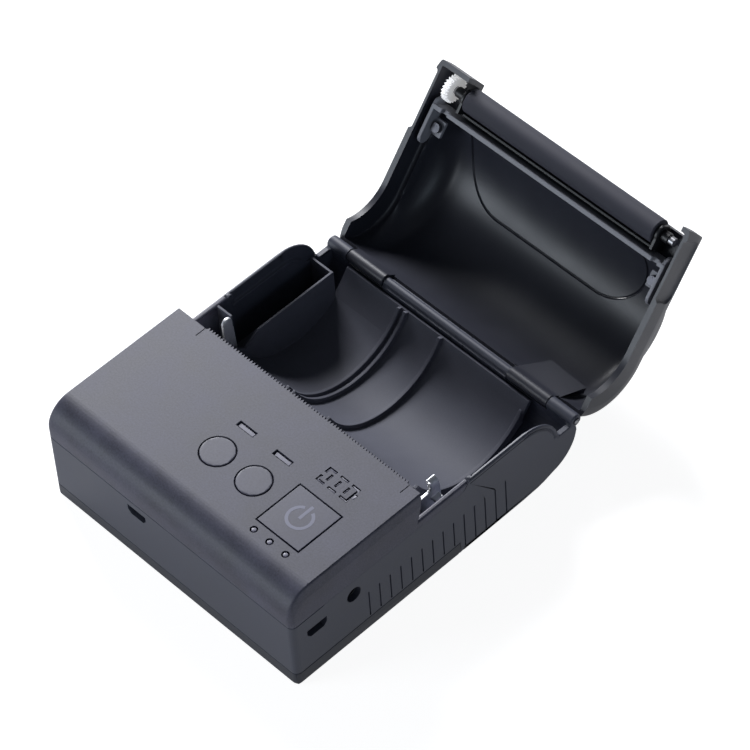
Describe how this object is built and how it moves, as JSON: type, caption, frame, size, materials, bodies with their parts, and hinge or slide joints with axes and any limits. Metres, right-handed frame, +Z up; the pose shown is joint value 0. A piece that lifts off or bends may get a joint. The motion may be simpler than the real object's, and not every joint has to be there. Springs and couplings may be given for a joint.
{
  "type": "receipt printer",
  "caption": "Portable thermal receipt printer with an open clamshell paper cover, platen roller, paper bowl, button panel and side sockets.",
  "frame": {"origin": "on the resting face, centred across the width and halfway between the front face and the back of the hinge barrels", "axes": "+X to the right seen from the front, where the sockets are; +Y from the front towards the hinge; +Z up"},
  "size_m": [0.1164, 0.1901, 0.0678],
  "materials": {
    "housing_plastic": "fine grained satin, near black",
    "panel_plastic": "fine grained satin, near black",
    "base_plastic": "fine grained satin, near black",
    "door_plastic": "fine grained satin, near black",
    "bowl_plastic": "satin moulded, charcoal",
    "cover_plastic": "satin moulded, near black",
    "inlay_plastic": "smooth semi-gloss, near black",
    "bar_plastic": "satin moulded, near black",
    "frame_plastic": "black acetal",
    "button_plastic": "satin, charcoal",
    "plate_chrome": "bright plated sheet steel",
    "steel": "ground",
    "spring_steel": "drawn wire",
    "screw_steel": "zinc plated",
    "shield_steel": "tinned",
    "socket_steel": "nickel plated",
    "motor_steel": "plain plated can",
    "head_aluminium": "heat sink with a ceramic face",
    "brass": "machined",
    "ribbon_film": "amber flexible film",
    "gear_plastic": "natural white acetal",
    "circuit_board": "green solder mask",
    "switch_plastic": "black moulded",
    "led_resin": "clear resin",
    "battery_wrap": "blue shrink wrap",
    "window_plastic": "frosted light grey",
    "platen_rubber": "ground, dark grey",
    "foot_rubber": "black pad"
  },
  "bodies": {
    "housing": {"main_housing": "housing_plastic", "upper_housing": "panel_plastic", "bottom_cover": "base_plastic", "battery_door": "door_plastic", "paper_bowl": "bowl_plastic", "mechanism_frame": "frame_plastic", "left_side_plate": "plate_chrome", "right_side_plate": "plate_chrome", "head_pivot_pin": "steel", "head_springs": "spring_steel", "head_ribbon": "ribbon_film", "stepper_motor": "motor_steel", "gear_posts": "steel", "paper_sensor": "frame_plastic", "main_board": "circuit_board", "key_board": "circuit_board", "tact_switches": "switch_plastic", "indicator_leds": "led_resin", "wireless_module": "shield_steel", "buzzer": "switch_plastic", "battery_pack": "battery_wrap", "usb_socket": "socket_steel", "dc_socket": "switch_plastic", "front_socket": "socket_steel", "status_windows": "window_plastic", "dot_lights": "window_plastic", "battery_gauge": "window_plastic", "housing_screws": "screw_steel", "rubber_feet": "foot_rubber", "hinge_pin": "steel"},
    "cover": {"cover_shell": "cover_plastic", "cover_inlay": "inlay_plastic", "platen_holder": "frame_plastic", "platen_crossbar": "bar_plastic", "crossbar_screws": "screw_steel", "platen_bearings": "frame_plastic"},
    "platen": {"platen_shaft": "steel", "platen_rubber": "platen_rubber", "platen_gear": "gear_plastic"},
    "print_head": {"thermal_head": "head_aluminium"},
    "mode_key": {"mode_button": "button_plastic"},
    "feed_key": {"feed_button": "button_plastic"},
    "power_key": {"power_button": "button_plastic"},
    "motor_shaft": {"motor_pinion": "brass"},
    "idler": {"idler_gear": "gear_plastic"},
    "transfer": {"transfer_gear": "gear_plastic"}
  },
  "joints": [
    {"name": "cover_hinge", "type": "hinge", "parent": "housing", "child": "cover", "pos_m": [0, 0.063, 0.0201], "axis": [1, 0, 0], "range_deg": [0, 128.3]},
    {"name": "platen_spin", "type": "hinge", "parent": "cover", "child": "platen", "pos_m": [0, 0.11671, 0.05923], "axis": [1, 0, 0], "continuous": true},
    {"name": "head_pivot", "type": "hinge", "parent": "housing", "child": "print_head", "pos_m": [0, -0.00048, 0.02274], "axis": [1, 0, 0], "range_deg": [0, 1.5], "stiffness_Nm_per_rad": 0.03, "springref_deg": -2.29},
    {"name": "mode_press", "type": "slide", "parent": "housing", "child": "mode_key", "axis": [0, 0, -1], "range_m": [0, 0.0004], "stiffness_N_per_m": 800},
    {"name": "feed_press", "type": "slide", "parent": "housing", "child": "feed_key", "axis": [0, 0, -1], "range_m": [0, 0.0004], "stiffness_N_per_m": 800},
    {"name": "power_press", "type": "slide", "parent": "housing", "child": "power_key", "axis": [0, 0, -1], "range_m": [0, 0.0004], "stiffness_N_per_m": 800},
    {"name": "idler_spin", "type": "hinge", "parent": "housing", "child": "idler", "pos_m": [0, -0.01066, 0.02438], "axis": [1, 0, 0], "continuous": true},
    {"name": "motor_spin", "type": "hinge", "parent": "housing", "child": "motor_shaft", "pos_m": [0, -0.01786, 0.02346], "axis": [1, 0, 0], "continuous": true},
    {"name": "transfer_spin", "type": "hinge", "parent": "housing", "child": "transfer", "pos_m": [0, -0.00341, 0.02948], "axis": [1, 0, 0], "continuous": true}
  ],
  "couplings": [
    {"joint": "motor_spin", "follows": "idler_spin", "ratio": -2},
    {"joint": "transfer_spin", "follows": "idler_spin", "ratio": -1.2}
  ]
}
